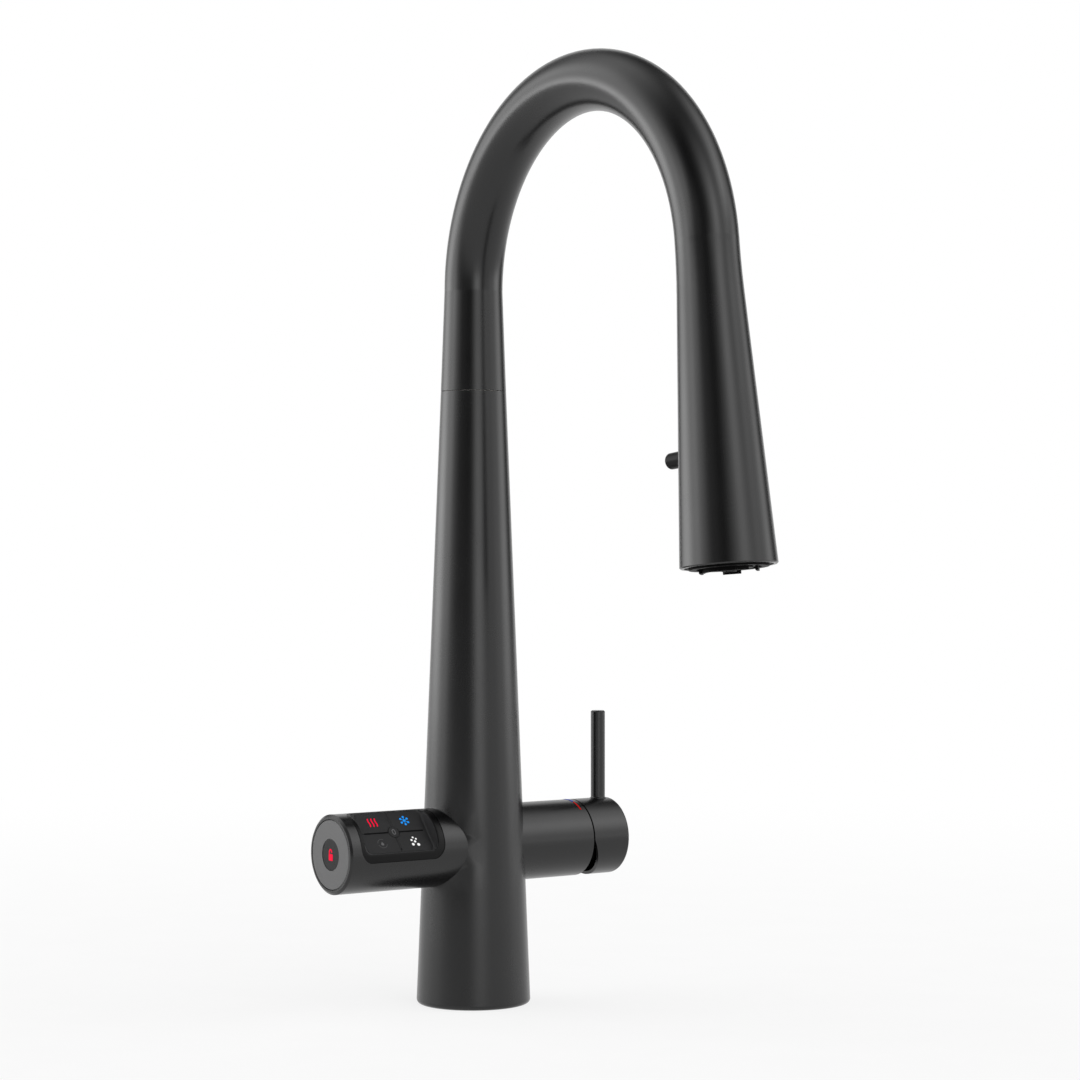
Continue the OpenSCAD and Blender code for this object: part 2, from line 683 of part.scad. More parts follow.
module boiling_nozzle() color("#242427") in_head() difference() {
    translate([0, 0, nozzle_seat]) cylinder(r = jet_r, h = head_len + 2 - nozzle_seat);
    translate([0, 0, nozzle_seat - 1]) cylinder(r = jet_r - 1, h = 20);
}

// diverter: the knob runs in a closed sleeve in the back of the head, square to the head's axis
sleeve_r = knob_r + 0.9;
sleeve_floor = 8.4;
sleeve_out = sqrt(pow(head_r(knob_place), 2) - pow(sleeve_r, 2));
knob_travel = 2.5;
spring_t = 1.3;
knob_inner = sleeve_floor + spring_t + knob_travel + 0.1;
knob_edge = 0.9;
module knob_rod(r, d1, d2) translate([0, 0, knob_place]) rotate([90, 0, 0]) translate([0, 0, d1])
    cylinder(r = r, h = d2 - d1);
module knob_bore(r) in_head() knob_rod(r, 5, 40);

module knob_sleeve() color("#1d1d1f") in_head() difference() {
    knob_rod(sleeve_r, sleeve_floor - 1, sleeve_out);
    knob_rod(knob_r + running, sleeve_floor, sleeve_out + 1);
}

module diverter_knob() color("#242427") in_head() translate([0, 0, knob_place]) rotate([90, 0, 0])
    rotate_extrude() polygon([
        [0, knob_inner], [knob_r, knob_inner],
        for (a = [0:15:90])
            [knob_r - knob_edge + knob_edge * cos(a), knob_reach - knob_edge + knob_edge * sin(a)],
        [0, knob_reach]]);

module knob_spring() color("#c9c9c9") in_head() difference() {
    knob_rod(knob_r - 0.2, sleeve_floor, sleeve_floor + spring_t);
    knob_rod(knob_r - 1, 0, sleeve_out);
}

// ---------------------------------------------------------------- nodes

column();
base_insert();
base_seal();
hot_pipe();
cold_pipe();
boiling_pipe();
chilled_pipe();
mixed_pipe();
pod_housing();
pod_bulkhead();
panel_frame();
panel_seal();
control_board();
key_switches();
panel_light();
control_cable();
lock_guide();
lock_switch();
lock_pad();
key_hot();
key_cold();
key_still();
key_sparkling();
lock_plate();
lock_lens();
handle_body();
hot_mark();
cold_mark();
valve_body();
cartridge();
cartridge_nut();
carrier();
cross_pin();
stem();
lever_cap();
lever_pin();
cap_screw();
swivel_neck();
lower_bush();
upper_bush();
swivel_seals();
thrust_washer();
retaining_clip();
spout_shell();
spout_collar();
spout_manifold();
mixed_tube();
boiling_tube();
chilled_tube();
head_block();
outlet_plate();
nozzle_ring();
aerator_insert();
boiling_nozzle();
knob_sleeve();
knob_spring();
diverter_knob();
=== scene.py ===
"""Boiling water tap: finishes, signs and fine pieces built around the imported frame."""

from __future__ import annotations

import logging
import math
from dataclasses import dataclass, field
from enum import Enum
from typing import Callable, Sequence

import bmesh
import bpy
from mathutils import Matrix, Vector

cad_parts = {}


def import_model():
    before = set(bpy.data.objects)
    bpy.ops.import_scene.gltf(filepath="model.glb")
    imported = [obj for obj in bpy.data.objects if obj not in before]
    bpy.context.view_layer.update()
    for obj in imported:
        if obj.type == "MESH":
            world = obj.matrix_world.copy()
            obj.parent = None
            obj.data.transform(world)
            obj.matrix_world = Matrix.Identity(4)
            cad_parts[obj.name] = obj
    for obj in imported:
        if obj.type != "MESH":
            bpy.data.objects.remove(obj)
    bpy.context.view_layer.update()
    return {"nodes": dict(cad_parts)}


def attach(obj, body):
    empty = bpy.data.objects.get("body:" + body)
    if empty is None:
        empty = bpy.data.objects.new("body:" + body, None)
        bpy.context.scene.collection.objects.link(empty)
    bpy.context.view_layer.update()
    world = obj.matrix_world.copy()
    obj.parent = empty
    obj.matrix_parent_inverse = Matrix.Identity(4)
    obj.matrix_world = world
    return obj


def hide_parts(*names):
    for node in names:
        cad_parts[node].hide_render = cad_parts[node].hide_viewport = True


LOG = logging.getLogger("water_tap")
MM = 0.001
Colour = tuple[float, float, float]
Place = tuple[float, float, float]
Pair = tuple[float, float]
Level = Callable[[Vector], float]
Piece = bpy.types.Object
Socket = bpy.types.NodeSocket
WHITE = (1.0, 1.0, 1.0, 1.0)
NEAR = 0.01 * MM  # points closer than this lie at the same height
MERGE = 0.0005 * MM  # doubles closer than this are merged
STRAIGHT = 4 * MM  # an outline's edge longer than this is one of its straight sides


# ---------------------------------------------------------------- shader helpers


class Signal:
    """A node's number output; Python's operators on it add Math nodes."""

    def __init__(self, board: "Shading", socket: Socket) -> None:
        """Wraps a socket.

        Args:
            board: the node tree that the socket belongs to.
            socket: the output socket.
        """
        self.board = board
        self.socket = socket

    def math(self, operation: str, *others: "Signal | float", swapped: bool = False) -> "Signal":
        """Adds one Math node.

        Args:
            operation: the Math node's operation.
            others: the further operands.
            swapped: whether this signal is the second operand.

        Returns:
            The node's result.
        """
        operands: list[Signal | float] = [self, *others]
        if swapped:
            operands.reverse()
        inputs = {place: operand for place, operand in enumerate(operands)}
        made = self.board.node("ShaderNodeMath", {"operation": operation}, inputs)
        return Signal(self.board, made.outputs[0])

    def __add__(self, other: "Signal | float") -> "Signal":
        """Sum."""
        return self.math("ADD", other)

    __radd__ = __add__

    def __sub__(self, other: "Signal | float") -> "Signal":
        """Difference."""
        return self.math("SUBTRACT", other)

    def __rsub__(self, other: float) -> "Signal":
        """Difference from a number."""
        return self.math("SUBTRACT", other, swapped=True)

    def __mul__(self, other: "Signal | float") -> "Signal":
        """Product."""
        return self.math("MULTIPLY", other)

    __rmul__ = __mul__

    def ramp(self, low: float, high: float) -> "Signal":
        """Runs smoothly from 0 at low to 1 at high.

        Args:
            low: where the ramp starts.
            high: where the ramp ends.

        Returns:
            The smooth step.
        """
        settings = {"interpolation_type": "SMOOTHSTEP"}
        made = self.board.node(
            "ShaderNodeMapRange", settings, {"Value": self, "From Min": low, "From Max": high}
        )
        return Signal(self.board, made.outputs["Result"])


class Shading:
    """A node tree that is written as expressions."""

    def __init__(self, tree: bpy.types.NodeTree) -> None:
        """Empties a tree for new nodes.

        Args:
            tree: the node tree of a material or of the world.
        """
        self.tree = tree
        tree.nodes.clear()

    def node(
        self, kind: str, settings: dict | None = None, inputs: dict | None = None
    ) -> bpy.types.Node:
        """Adds one node.

        Args:
            kind: the node's type.
            settings: its properties, set before its sockets.
            inputs: values, Signals or output sockets by input name or number.

        Returns:
            The new node.
        """
        made = self.tree.nodes.new(kind)
        for name, value in (settings or {}).items():
            setattr(made, name, value)
        for name, value in (inputs or {}).items():
            socket = made.inputs[name]
            if isinstance(value, Signal):
                self.tree.links.new(value.socket, socket)
            elif isinstance(value, Socket):
                self.tree.links.new(value, socket)
            else:
                socket.default_value = value
        return made

    def coordinates(self, stretch: Place = (1.0, 1.0, 1.0)) -> Socket:
        """Object coordinates in metres.

        Args:
            stretch: a factor for each axis.

        Returns:
            The vector output.
        """
        place = self.node("ShaderNodeTexCoord").outputs["Object"]
        if stretch == (1.0, 1.0, 1.0):
            return place
        return self.node("ShaderNodeMapping", None, {"Vector": place, "Scale": stretch}).outputs[0]

    def noise(self, size: float, detail: float = 3.0, stretch: Place = (1.0, 1.0, 1.0)) -> Signal:
        """Noise whose features have a real size.

        Args:
            size: the feature size in metres.
            detail: the number of octaves.
            stretch: a factor for each axis.

        Returns:
            The noise, about 0.5 in the middle.
        """
        inputs = {"Vector": self.coordinates(stretch), "Scale": 1.0 / size, "Detail": detail}
        made = self.node("ShaderNodeTexNoise", None, inputs)
        return Signal(self, made.outputs[0])

    def cells(self, size: float) -> Signal:
        """Distance to the nearest of scattered points.

        Args:
            size: the spacing in metres.

        Returns:
            The distance, in spacings.
        """
        inputs = {"Vector": self.coordinates(), "Scale": 1.0 / size}
        made = self.node("ShaderNodeTexVoronoi", None, inputs)
        return Signal(self, made.outputs["Distance"])

    def tint(self, factor: "Signal | float", first: Colour, second: Colour) -> Socket:
        """Mixes two colours.

        Args:
            factor: 0 for the first and 1 for the second.
            first: a linear colour.
            second: a linear colour.

        Returns:
            The mixed colour's socket.
        """
        inputs = {"Factor": factor, 6: (*first, 1.0), 7: (*second, 1.0)}
        return self.node("ShaderNodeMix", {"data_type": "RGBA"}, inputs).outputs[2]

    def relief(self, height: Signal, depth: float, strength: float = 1.0) -> Socket:
        """Turns a height into a bumped normal.

        Args:
            height: the height, 0 to 1.
            depth: how far 1 stands out, in metres.
            strength: the bump's strength.

        Returns:
            The normal's socket.
        """
        inputs = {"Height": height, "Distance": depth, "Strength": strength}
        return self.node("ShaderNodeBump", None, inputs).outputs[0]


# ---------------------------------------------------------------- finishes


@dataclass(frozen=True)
class Finish:
    """A surface finish; a subclass says how its nodes are drawn."""

    name: str
    colour: Colour
    roughness: float
    metallic: float = 0.0
    reflectance: float = 0.5

    def make(self) -> bpy.types.Material:
        """Builds the material.

        Returns:
            The new material.
        """
        material = bpy.data.materials.new(self.name)
        material.use_nodes = True
        board = Shading(material.node_tree)
        constants = {"Metallic": self.metallic, "Specular IOR Level": self.reflectance}
        shader = board.node("ShaderNodeBsdfPrincipled", None, constants | self.draw(board))
        board.node("ShaderNodeOutputMaterial", None, {"Surface": shader.outputs[0]})
        material.diffuse_color = (*self.colour, 1.0)
        return material

    def shade(self, factor: float) -> Colour:
        """The finish's colour, lighter or darker.

        Args:
            factor: the factor on each channel.

        Returns:
            The changed colour.
        """
        return tuple(min(1.0, channel * factor) for channel in self.colour)

    def draw(self, board: Shading) -> dict:
        """Draws what varies over the surface.

        Args:
            board: the material's nodes.

        Returns:
            Inputs of the Principled shader.
        """
        raise NotImplementedError


@dataclass(frozen=True)
class SatinCoat(Finish):
    """Powder coat on metal: a fine pebbled skin, slightly uneven in gloss."""

    peel: float = 0.6 * MM
    peel_depth: float = 0.002 * MM

    def draw(self, board: Shading) -> dict:
        """Draws the pebbled skin and the uneven gloss."""
        peel = board.noise(self.peel, 2.0)
        speck = board.noise(0.12 * MM, 1.0)
        drift = board.noise(26 * MM, 2.0)
        smear = board.noise(7 * MM, 4.0, (1.0, 1.0, 0.35))
        gloss = self.roughness + (peel - 0.5) * 0.05 + (drift - 0.5) * 0.05 + (smear - 0.5) * 0.04
        tone = ((drift - 0.5) * 0.6 + (speck - 0.5) * 0.9 + 0.5).ramp(0.0, 1.0)
        return {
            "Base Color": board.tint(tone, self.shade(0.82), self.shade(1.2)),
            "Roughness": gloss,
            "Normal": board.relief(peel * 0.7 + speck * 0.3, self.peel_depth),
        }


@dataclass(frozen=True)
class Moulded(Finish):
    """Moulded plastic with the spark-eroded grain of its mould."""

    grain: float = 0.22 * MM
    grain_depth: float = 0.008 * MM

    def draw(self, board: Shading) -> dict:
        """Draws the mould's grain."""
        grain = board.noise(self.grain, 3.0)
        drift = board.noise(9 * MM, 2.0)
        tone = (grain * 0.6 + drift * 0.4).ramp(0.25, 0.75)
        return {
            "Base Color": board.tint(tone, self.shade(0.85), self.shade(1.15)),
            "Roughness": self.roughness + (grain - 0.5) * 0.12,
            "Normal": board.relief(grain, self.grain_depth),
        }


@dataclass(frozen=True)
class Machined(Finish):
    """Turned or drawn metal with fine tool marks along or round the part."""

    marks: Place = (1.0, 1.0, 14.0)

    def draw(self, board: Shading) -> dict:
        """Draws the tool marks and a faint stain."""
        lines = board.noise(1.2 * MM, 4.0, self.marks)
        stain = board.noise(6 * MM, 3.0)
        return {
            "Base Color": board.tint(stain.ramp(0.3, 0.7), self.shade(0.82), self.shade(1.08)),
            "Roughness": self.roughness + (lines - 0.5) * 0.22,
            "Normal": board.relief(lines, 0.012 * MM, 0.6),
        }


@dataclass(frozen=True)
class SoftRubber(Finish):
    """Black rubber with bloom and a dull skin."""

    def draw(self, board: Shading) -> dict:
        """Draws the bloom."""
        bloom = board.noise(3 * MM, 4.0)
        skin = board.noise(0.4 * MM, 2.0)
        return {
            "Base Color": board.tint(bloom.ramp(0.45, 0.8), self.colour, self.shade(2.0)),
            "Roughness": self.roughness + (skin - 0.5) * 0.1,
            "Normal": board.relief(skin, 0.02 * MM),
        }


@dataclass(frozen=True)
class SmokedLens(Finish):
    """Smooth dark plastic over a light, with faint depth."""

    def draw(self, board: Shading) -> dict:
        """Draws the lens's faint cloud."""
        cloud = board.noise(2.5 * MM, 2.0)
        return {
            "Base Color": board.tint(cloud.ramp(0.3, 0.7), self.shade(0.9), self.shade(1.1)),
            "Roughness": self.roughness + (cloud - 0.5) * 0.04,
            "Normal": board.relief(board.noise(0.5 * MM, 1.0), 0.001 * MM),
        }


@dataclass(frozen=True)
class PrintedInk(Finish):
    """Ink or enamel with a slightly uneven edge to edge cover; it may be lit from behind."""

    glow: float = 0.0

    def draw(self, board: Shading) -> dict:
        """Draws the uneven cover and the light from behind."""
        cover = board.noise(0.5 * MM, 3.0)
        share = cover.ramp(0.2, 0.8)
        unlit = 1.0 - self.glow
        return {
            "Base Color": board.tint(share, self.shade(0.88 * unlit), self.shade(1.08 * unlit)),
            "Roughness": self.roughness + (cover - 0.5) * 0.1,
            "Emission Color": board.tint(share, self.shade(0.94), self.shade(1.03)),
            "Emission Strength": self.glow,
        }


@dataclass(frozen=True)
class BoardLacquer(Finish):
    """Circuit board lacquer over copper tracks."""

    def draw(self, board: Shading) -> dict:
        """Draws the tracks under the lacquer."""
        tracks = board.cells(1.6 * MM).ramp(0.34, 0.4)
        return {
            "Base Color": board.tint(tracks, self.colour, self.shade(1.8)),
            "Roughness": self.roughness + tracks * 0.08,
            "Normal": board.relief(tracks, 0.03 * MM),
        }


class Coat(Enum):
    """The tap's finishes, by what they are on."""

    SATIN_BLACK = SatinCoat("satin_black_finish", (0.002, 0.002, 0.0022), 0.26)
    BEZEL = Moulded("bezel_black", (0.0015, 0.0015, 0.0016), 0.34, reflectance=0.16)
    KEY = Moulded("key_grey", (0.024, 0.024, 0.0246), 0.5, reflectance=0.14)
    # the dish is the panel's plastic painted lighter: painted light that makes up for the shade on
    # its walls down in the hollow
    DISH = Moulded("dish_grey", (0.042, 0.042, 0.043), 0.5, reflectance=0.14)
    OUTLET = Moulded("outlet_black", (0.002, 0.002, 0.0021), 0.5, reflectance=0.06)
    KNOB = SatinCoat("knob_black", (0.0015, 0.0015, 0.0016), 0.36, reflectance=0.12)
    DISC = SatinCoat("lock_disc_coat", (0.055, 0.055, 0.056), 0.3, reflectance=0.7)
    LENS = SmokedLens("smoked_lens", (0.004, 0.004, 0.0043), 0.28, reflectance=0.18)
    INNER_PLASTIC = Moulded("inner_plastic_finish", (0.42, 0.41, 0.385), 0.5)
    BEARING = Moulded("bearing_finish", (0.72, 0.7, 0.64), 0.45)
    CARTRIDGE = Moulded("cartridge_casing", (0.7, 0.69, 0.63), 0.4)
    RUBBER = SoftRubber("black_rubber", (0.014, 0.014, 0.0145), 0.75)
    BRASS = Machined("machined_brass", (0.66, 0.47, 0.2), 0.3, metallic=1.0)
    COPPER = Machined("drawn_copper", (0.72, 0.35, 0.2), 0.32, metallic=1.0, marks=(9.0, 9.0, 0.4))
    STEEL = Machined("plain_steel", (0.56, 0.56, 0.57), 0.28, metallic=1.0, marks=(9.0, 9.0, 0.4))
    BOARD = BoardLacquer("board_lacquer", (0.01, 0.09, 0.03), 0.3)
    DARK_METAL = Machined("blackened_metal", (0.012, 0.012, 0.012), 0.5, metallic=1.0)
    RED_MARK = PrintedInk("red_mark_finish", (0.5, 0.002, 0.002), 0.5, reflectance=0.1)
    BLUE_MARK = PrintedInk("blue_mark_finish", (0.008, 0.05, 0.55), 0.5, reflectance=0.1)
    RED_SIGN = PrintedInk("red_sign", (0.98, 0.001, 0.045), 0.5, reflectance=0.05, glow=0.97)
    BLUE_SIGN = PrintedInk("blue_sign", (0.012, 0.32, 0.96), 0.5, reflectance=0.1, glow=0.85)
    WHITE_SIGN = PrintedInk("white_sign", (0.96, 0.96, 0.96), 0.5, reflectance=0.1, glow=0.8)
    GREY_SIGN = PrintedInk("grey_sign", (0.075, 0.075, 0.077), 0.5, reflectance=0.14)
    RING_SIGN = PrintedInk("ring_sign", (0.13, 0.13, 0.133), 0.5, reflectance=0.14)

    def material(self) -> bpy.types.Material:
        """The finish's material, made the first time it is asked for.

        Returns:
            The material.
        """
        return bpy.data.materials.get(self.value.name) or self.value.make()


# ---------------------------------------------------------------- modelling helpers


@dataclass(frozen=True)
class Outline:
    """A rectangle with round corners, in millimetres."""

    low: Pair
    high: Pair
    corner: float

    def grown(self, by: float) -> "Outline":
        """The same outline further out.

        Args:
            by: how far, in millimetres; below 0 for further in.

        Returns:
            The new outline.
        """
        low = (self.low[0] - by, self.low[1] - by)
        high = (self.high[0] + by, self.high[1] + by)
        return Outline(low, high, self.corner + by)

    def toward(self, other: "Outline", share: float) -> "Outline":
        """An outline between this one and another.

        Args:
            other: the outline that share 1 gives.
            share: 0 to 1.

        Returns:
            The outline between.
        """
        low = tuple(a + (b - a) * share for a, b in zip(self.low, other.low))
        high = tuple(a + (b - a) * share for a, b in zip(self.high, other.high))
        return Outline(low, high, self.corner + (other.corner - self.corner) * share)


class Bench:
    """Blender's modelling operators, used on one selected object at a time."""

    @classmethod
    def sheet(cls, name: str, outline: Outline, steps: int = 8) -> Piece:
        """A flat face with round corners in the XY plane.

        Args:
            name: the object's name.
            outline: its outline.
            steps: segments in each corner.

        Returns:
            The new object.
        """
        piece = cls.start(name, bpy.ops.mesh.primitive_plane_add, size=1.0)
        size = [high - low for low, high in zip(outline.low, outline.high)]
        middle = [(high + low) / 2 for low, high in zip(outline.low, outline.high)]
        cls.open(piece, "VERT")
        bpy.ops.mesh.select_all(action="SELECT")
        bpy.ops.transform.resize(value=(size[0] * MM, size[1] * MM, 1.0))
        bpy.ops.transform.translate(value=(middle[0] * MM, middle[1] * MM, 0.0))
        bpy.ops.mesh.bevel(
            offset=outline.corner * MM, segments=steps, affect="VERTICES", clamp_overlap=False
        )
        cls.close()
        return piece

    @classmethod
    def slab(cls, name: str, outline: Outline, bottom: float, top: float) -> Piece:
        """A flat block with round corners.

        Args:
            name: the object's name.
            outline: its outline.
            bottom: its lower height in millimetres.
            top: its upper height in millimetres.

        Returns:
            The new object.
        """
        piece = cls.sheet(name, outline)
        cls.raise_up(piece, top - bottom)
        cls.shift(piece, lambda spot: spot + Vector((0.0, 0.0, bottom * MM)))
        return piece

    @classmethod
    def raise_up(cls, piece: Piece, height: float) -> None:
        """Extrudes a flat piece upward into a block.

        Args:
            piece: the piece.
            height: how high, in millimetres.
        """
        cls.open(piece, "FACE")
        bpy.ops.mesh.select_all(action="SELECT")
        bpy.ops.mesh.extrude_region_move(TRANSFORM_OT_translate={"value": (0.0, 0.0, height * MM)})
        bpy.ops.mesh.select_all(action="SELECT")
        bpy.ops.mesh.normals_make_consistent(inside=False)
        cls.close()

    @classmethod
    def shift(cls, piece: Piece, rule: Callable[[Vector], Vector]) -> None:
        """Moves each point of a piece by a rule.

        Args:
            piece: the piece.
            rule: gives a point's new place.
        """
        mesh = cls.open(piece, "VERT")
        for vertex in mesh.verts:
            vertex.co = rule(vertex.co)
        bmesh.update_edit_mesh(piece.data)
        cls.close()

    @classmethod
    def loop(cls, name: str, outline: Outline, level: Level) -> Piece:
        """A closed line with round corners that lies on a surface.

        Args:
            name: the object's name.
            outline: its outline.
            level: the surface's height in metres at a point.

        Returns:
            The new object.
        """
        piece = cls.sheet(name, outline)
        cls.pick(piece, "EDGE", lambda edge: edge.calc_length() > STRAIGHT)
        bpy.ops.mesh.subdivide(number_cuts=14)
        bpy.ops.mesh.select_all(action="SELECT")
        bpy.ops.mesh.delete(type="ONLY_FACE")
        cls.close()
        cls.shift(piece, lambda spot: Vector((spot.x, spot.y, level(spot))))
        return piece

    @classmethod
    def loft(cls, name: str, rings: Sequence[tuple[Outline, Level]]) -> Piece:
        """Bridges closed lines one after another, and the last to the first.

        Args:
            name: the object's name.
            rings: each line's outline and the surface that it lies on.

        Returns:
            The closed piece.
        """
        strips = [
            cls.bridge(cls.loop(name, *start), cls.loop(name, *end))
            for start, end in zip(rings, [*rings[1:], rings[0]])
        ]
        piece = cls.join(*strips)
        piece.name = piece.data.name = name
        return piece

    @classmethod
    def bridge(cls, *lines: Piece) -> Piece:
        """Joins two closed lines and fills the strip between them.

        Args:
            lines: the lines, which are used up.

        Returns:
            The strip.
        """
        strip = cls.join(*lines)
        cls.open(strip, "EDGE")
        bpy.ops.mesh.select_all(action="SELECT")
        bpy.ops.mesh.bridge_edge_loops()
        cls.close()
        return strip

    @classmethod
    def drum(
        cls, name: str, sides: int, radius: float, depth: float, middle: Place, tilt: float = 0.0
    ) -> Piece:
        """A cylinder; its sizes are in millimetres.

        Args:
            name: the object's name.
            sides: the number of its sides.
            radius: its radius.
            depth: its length.
            middle: its centre.
            tilt: how far it is turned about X, in degrees.

        Returns:
            The new object.
        """
        return cls.start(
            name,
            bpy.ops.mesh.primitive_cylinder_add,
            vertices=sides,
            radius=radius * MM,
            depth=depth * MM,
            location=tuple(value * MM for value in middle),
            rotation=(math.radians(tilt), 0.0, 0.0),
        )

    @staticmethod
    def clear() -> None:
        """Deselects every object."""
        bpy.ops.object.select_all(action="DESELECT")

    @classmethod
    def start(cls, name: str, operator: Callable, **settings: object) -> Piece:
        """Adds a primitive.

        Args:
            name: the new object's name.
            operator: the primitive's operator.
            settings: the operator's settings.

        Returns:
            The new object, with its place in its mesh.
        """
        cls.clear()
        operator(**settings)
        made = bpy.context.object
        made.name = made.data.name = name
        cls.settle(made)
        return made

    @classmethod
    def alone(cls, piece: Piece) -> None:
        """Selects one object and makes it active.

        Args:
            piece: the object.
        """
        cls.clear()
        piece.select_set(True)
        bpy.context.view_layer.objects.active = piece

    @classmethod
    def settle(cls, piece: Piece) -> None:
        """Moves an object's place into its mesh."""
        cls.alone(piece)
        bpy.ops.object.transform_apply(location=True, rotation=True, scale=True)

    @classmethod
    def place(cls, piece: Piece, matrix: Matrix) -> None:
        """Puts a piece that was modelled flat into its frame.

        Args:
            piece: the piece.
            matrix: the frame, in the part's own frame.
        """
        piece.matrix_world = matrix
        cls.settle(piece)

    @classmethod
    def open(cls, piece: Piece, mode: str) -> bmesh.types.BMesh:
        """Enters edit mode with nothing selected.

        Args:
            piece: the object to edit.
            mode: VERT, EDGE or FACE.

        Returns:
            The mesh in edit mode.
        """
        cls.alone(piece)
        bpy.ops.object.mode_set(mode="EDIT")
        bpy.ops.mesh.select_mode(type=mode)
        bpy.ops.mesh.select_all(action="DESELECT")
        return bmesh.from_edit_mesh(piece.data)

    @staticmethod
    def close() -> None:
        """Leaves edit mode."""
        bpy.ops.object.mode_set(mode="OBJECT")

    @classmethod
    def pick(cls, piece: Piece, mode: str, test: Callable) -> bmesh.types.BMesh:
        """Enters edit mode with chosen elements selected.

        Args:
            piece: the object to edit.
            mode: VERT, EDGE or FACE.
            test: says whether an element is chosen.

        Returns:
            The mesh in edit mode.
        """
        mesh = cls.open(piece, mode)
        elements = {"VERT": mesh.verts, "EDGE": mesh.edges, "FACE": mesh.faces}[mode]
        for element in elements:
            if test(element):
                element.select_set(True)
        mesh.select_flush_mode()
        bmesh.update_edit_mesh(piece.data)
        return mesh

    @classmethod
    def bevel_edges(cls, piece: Piece, test: Callable, width: float, steps: int) -> None:
        """Rounds chosen edges.

        Args:
            piece: the object.
            test: says whether an edge is rounded.
            width: the rounding's size in metres.
            steps: the number of segments.
        """
        cls.pick(piece, "EDGE", test)
        bpy.ops.mesh.bevel(offset=width, segments=steps, affect="EDGES", clamp_overlap=True)
        cls.close()

    @classmethod
    def modify(cls, piece: Piece, kind: str, **settings: object) -> None:
        """Adds a modifier and applies it.

        Args:
            piece: the object.
            kind: the modifier's type.
            settings: its properties.
        """
        cls.alone(piece)
        modifier = piece.modifiers.new(kind.lower(), kind)
        for name, value in settings.items():
            setattr(modifier, name, value)
        bpy.ops.object.modifier_apply(modifier=modifier.name)

    @classmethod
    def cut(cls, piece: Piece, tool: Piece, operation: str = "DIFFERENCE") -> None:
        """Cuts or joins a piece with a tool, which is used up.

        Args:
            piece: the piece that stays.
            tool: the other object.
            operation: DIFFERENCE, UNION or INTERSECT.
        """
        cls.modify(piece, "BOOLEAN", operation=operation, object=tool, solver="EXACT")
        bpy.data.objects.remove(tool)

    @classmethod
    def join(cls, first: Piece, *others: Piece) -> Piece:
        """Joins objects into the first one.

        Args:
            first: the object that stays.
            others: the objects that are joined to it.

        Returns:
            The first object.
        """
        cls.clear()
        for other in others:
            other.select_set(True)
        first.select_set(True)
        bpy.context.view_layer.objects.active = first
        if others:
            bpy.ops.object.join()
        return first

    @classmethod
    def finish(cls, piece: Piece, angle: float = 35.0) -> None:
        """Merges doubles, turns faces outward and shades by angle.

        Args:
            piece: the piece.
            angle: edges sharper than this, in degrees, stay crisp.
        """
        cls.open(piece, "VERT")
        bpy.ops.mesh.select_all(action="SELECT")
        bpy.ops.mesh.remove_doubles(threshold=MERGE)
        bpy.ops.mesh.normals_make_consistent(inside=False)
        cls.close()
        bpy.ops.object.shade_smooth_by_angle(angle=math.radians(angle))

    @staticmethod
    def dress(piece: Piece, coat: Coat) -> None:
        """Gives a piece its finish.

        Args:
            piece: the piece.
            coat: the finish.
        """
        if not piece.data.materials:
            piece.data.materials.append(coat.material())
        for slot in piece.material_slots:
            slot.material = coat.material()


@dataclass
class Assembly:
    """A sub-assembly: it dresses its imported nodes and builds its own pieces."""

    nodes: dict[str, Piece]
    pieces: list[str] = field(default_factory=list, init=False)

    def coat(self, coat: Coat, *names: str) -> None:
        """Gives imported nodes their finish.

        Args:
            coat: the finish.
            names: the nodes' names.
        """
        for name in names:
            Bench.dress(self.nodes[name], coat)

    def keep(self, piece: Piece, coat: Coat, body: str, slot: str, *stands_for: str) -> None:
        """Takes a finished piece into the part.

        Args:
            piece: the piece.
            coat: its finish.
            body: the body that it rides on.
            slot: a material slot's name; not used.
            stands_for: the nodes that it replaces.
        """
        Bench.dress(piece, coat)
        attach(piece, body)
        if stands_for:
            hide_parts(*stands_for)
        self.pieces.append(piece.name)
        LOG.info("%s: %d faces on %s", piece.name, len(piece.data.polygons), body)

    def build(self) -> None:
        """Builds the sub-assembly."""
        raise NotImplementedError


# ---------------------------------------------------------------- sub-assemblies


@dataclass
class Body(Assembly):
    """Column, foot and the parts of the swivel that stand still."""

    def build(self) -> None:
        """Dresses the column, the foot and what is held inside."""
        self.coat(Coat.SATIN_BLACK, "column")
        self.coat(Coat.BRASS, "base_insert", "swivel_neck")
        self.coat(Coat.RUBBER, "base_seal", "swivel_seals", "control_cable")
        self.coat(Coat.COPPER, "hot_pipe", "cold_pipe")
        self.coat(Coat.STEEL, "boiling_pipe", "chilled_pipe", "mixed_pipe", "retaining_clip")
        self.coat(Coat.BEARING, "lower_bush", "upper_bush", "thrust_washer")


@dataclass
class Spout(Assembly):
    """Swan neck with its head, water tubes, outlet and diverter knob."""

    def build(self) -> None:
        """Dresses the spout."""
        self.coat(Coat.SATIN_BLACK, "spout_shell")
        self.coat(Coat.BRASS, "spout_collar")
        self.coat(Coat.INNER_PLASTIC, "spout_manifold", "head_block")
        self.coat(Coat.STEEL, "mixed_tube", "boiling_tube", "chilled_tube", "knob_spring")
        self.coat(Coat.OUTLET, "outlet_plate", "nozzle_ring", "boiling_nozzle", "aerator_insert")
        self.coat(Coat.OUTLET, "knob_sleeve")
        self.coat(Coat.KNOB, "diverter_knob")


